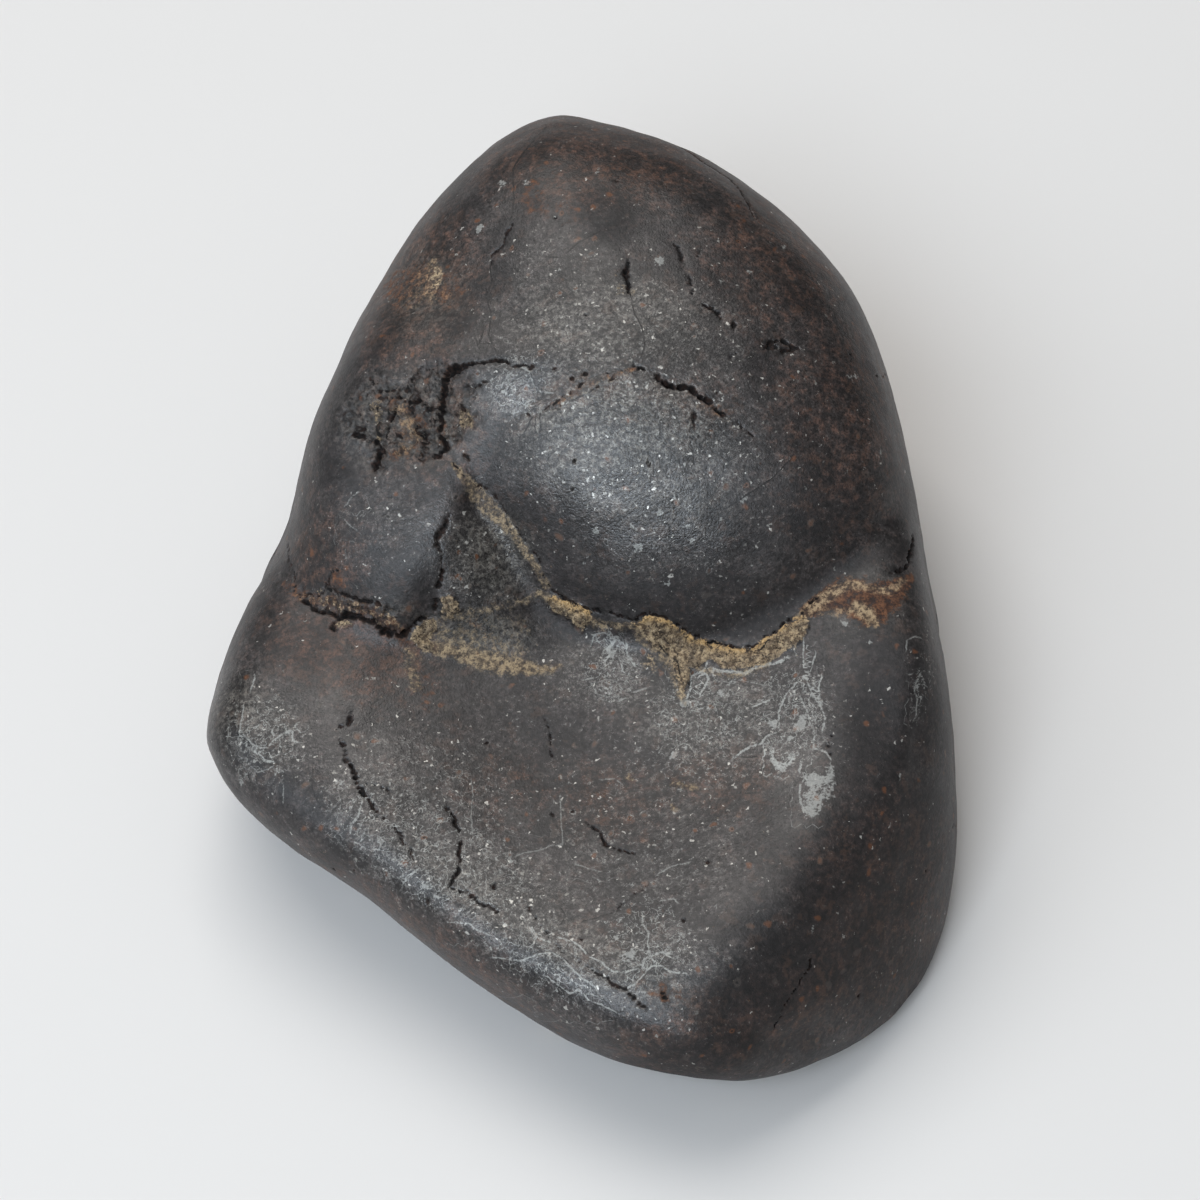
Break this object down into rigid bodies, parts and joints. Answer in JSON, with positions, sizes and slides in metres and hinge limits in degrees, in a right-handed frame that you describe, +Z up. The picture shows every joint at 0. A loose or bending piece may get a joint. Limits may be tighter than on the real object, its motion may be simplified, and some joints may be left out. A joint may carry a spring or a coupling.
{
  "type": "meteorite",
  "caption": "Loose wind-worn stony meteorite: a domed head behind a hollowed shelf, an irregular crevice between them, and a flat foot to rest on.",
  "frame": {"origin": "middle of the stone's bounding box at its bottom, on the plane of its flat foot", "axes": "+Z up; -Y to the front, the side of the low hollowed shelf; +X to the right as seen from the front"},
  "size_m": [0.058, 0.0784, 0.0388],
  "materials": {
    "stone": "satin wind-worn dark brown-grey crust with fine bright metal flecks"
  },
  "bodies": {
    "root": {"meteorite": "stone"}
  },
  "joints": []
}
